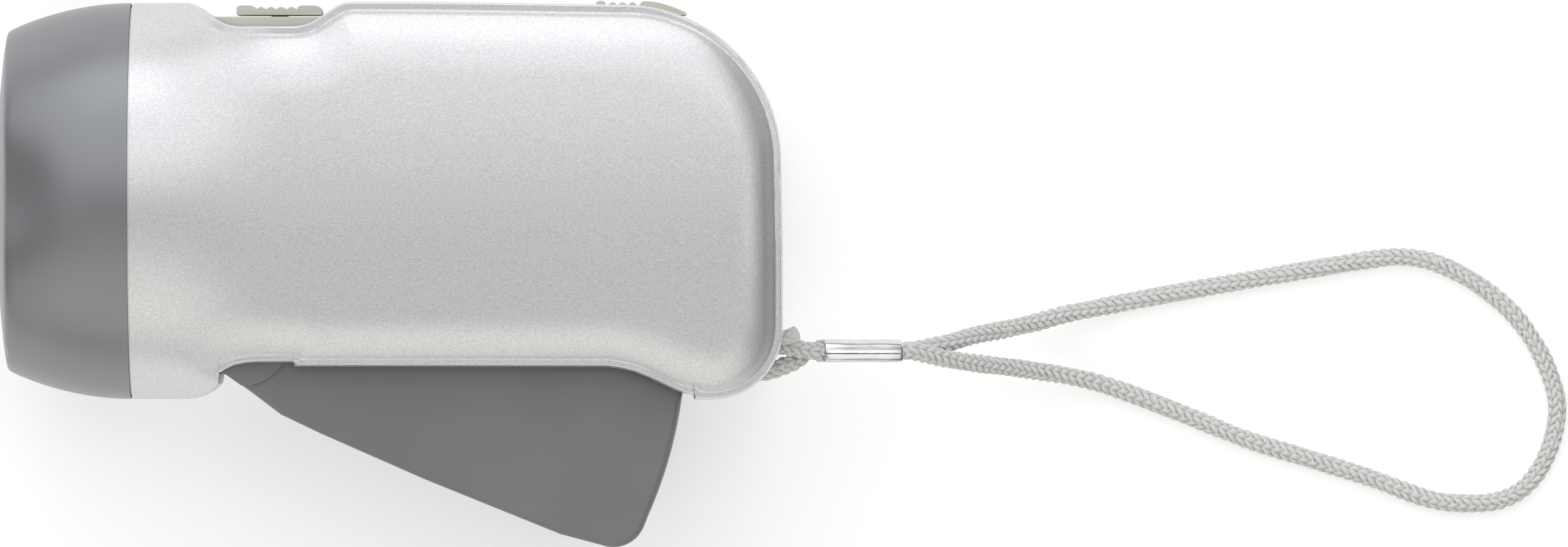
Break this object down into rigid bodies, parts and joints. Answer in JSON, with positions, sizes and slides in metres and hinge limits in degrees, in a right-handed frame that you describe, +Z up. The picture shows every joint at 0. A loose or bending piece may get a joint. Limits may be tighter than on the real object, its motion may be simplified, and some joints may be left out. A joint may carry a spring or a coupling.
{
  "type": "hand crank flashlight",
  "caption": "Squeeze-powered dynamo flashlight lying on its side: silver shell, grey lamp head, hinged hand lever, sliding switch and lever lock, looped wrist cord.",
  "frame": {"origin": "middle of the foot of the torch's box without its free cord, on the surface that the torch lies on", "axes": "+X from the lamp to the tail, +Y from the squeeze lever's side to the light switch's side, +Z up, square to the plane where the two shells meet"},
  "size_m": [0.2065, 0.0716, 0.045],
  "materials": {
    "shell": "satin silver paint",
    "grey_plastic": "satin",
    "switch_plastic": "satin",
    "lock_plastic": "satin",
    "dark_plastic": "satin",
    "lens_clear": "clear",
    "mirror_metal": "vacuum metallised",
    "led_clear": "clear",
    "circuit_green": "solder mask",
    "steel": "zinc plated",
    "gear_plastic": "natural acetal",
    "frame_plastic": "matte",
    "brass": "turned",
    "magnet": "sintered",
    "copper": "enamelled copper wire",
    "bobbin_white": "matte",
    "cell_jacket": "shrink sleeve",
    "wire_red": "insulation",
    "wire_black": "insulation",
    "wire_yellow": "insulation",
    "cord_fabric": "knitted polyester",
    "ferrule_metal": "polished"
  },
  "bodies": {
    "torch": {"head_bezel": "grey_plastic", "lens": "lens_clear", "reflector": "mirror_metal", "led_board": "circuit_green", "led_1": "led_clear", "led_2": "led_clear", "led_3": "led_clear", "left_shell": "shell", "right_shell": "shell", "shell_screw_1": "steel", "shell_screw_2": "steel", "shell_screw_3": "steel", "light_switch_plate": "switch_plastic", "slide_switch": "steel", "lever_pin": "steel", "return_spring": "steel", "gear_axle_1": "steel", "gear_axle_2": "steel", "gear_frame": "frame_plastic", "gear_frame_cover": "frame_plastic", "frame_screw_1": "steel", "frame_screw_2": "steel", "frame_screw_3": "steel", "frame_screw_4": "steel", "stator_cup_1": "steel", "stator_cup_2": "steel", "coil_bobbin": "bobbin_white", "coil_winding": "copper", "circuit_board": "circuit_green", "storage_cell": "cell_jacket", "cell_tab_1": "steel", "cell_tab_2": "steel", "lamp_wire_red": "wire_red", "lamp_wire_black": "wire_black", "switch_wire": "wire_yellow", "coil_wire_1": "copper", "coil_wire_2": "copper", "lanyard_bar": "steel", "wrist_cord": "cord_fabric", "cord_ferrule": "ferrule_metal", "cord_tag": "cord_fabric"},
    "lever": {"squeeze_lever": "grey_plastic"},
    "light_switch": {"light_switch_knob": "switch_plastic"},
    "lock": {"lock_slider": "lock_plastic", "lock_bar": "dark_plastic"},
    "first_gear_body": {"first_gear": "gear_plastic"},
    "second_gear_body": {"second_gear": "gear_plastic"},
    "rotor": {"rotor_shaft": "steel", "rotor_pinion": "brass", "flywheel": "steel", "rotor_magnet": "magnet"}
  },
  "joints": [
    {"name": "lever_squeeze", "type": "hinge", "parent": "torch", "child": "lever", "pos_m": [-0.0192, -0.00847, 0.0225], "axis": [0, 0, 1], "range_deg": [0, 22], "stiffness_Nm_per_rad": 0.35, "springref_deg": -34.38, "deforming": ["return_spring"]},
    {"name": "light_switch_slide", "type": "slide", "parent": "torch", "child": "light_switch", "axis": [-1, 0, 0], "range_m": [0, 0.003]},
    {"name": "lock_slide", "type": "slide", "parent": "torch", "child": "lock", "axis": [-1, 0, 0], "range_m": [0, 0.003]},
    {"name": "first_gear_spin", "type": "hinge", "parent": "torch", "child": "first_gear_body", "pos_m": [-0.0012, 0.01298, 0.0225], "axis": [0, 0, 1], "range_deg": [-132, 0]},
    {"name": "second_gear_spin", "type": "hinge", "parent": "torch", "child": "second_gear_body", "pos_m": [0.01357, 0.01037, 0.0225], "axis": [0, 0, 1], "range_deg": [0, 528]},
    {"name": "rotor_spin", "type": "hinge", "parent": "torch", "child": "rotor", "pos_m": [0.02377, 0.01512, 0.0225], "axis": [0, 0, 1], "range_deg": [-2112, 0]}
  ],
  "couplings": [
    {"joint": "first_gear_spin", "follows": "lever_squeeze", "ratio": -6},
    {"joint": "second_gear_spin", "follows": "lever_squeeze", "ratio": 24},
    {"joint": "rotor_spin", "follows": "lever_squeeze", "ratio": -96}
  ]
}
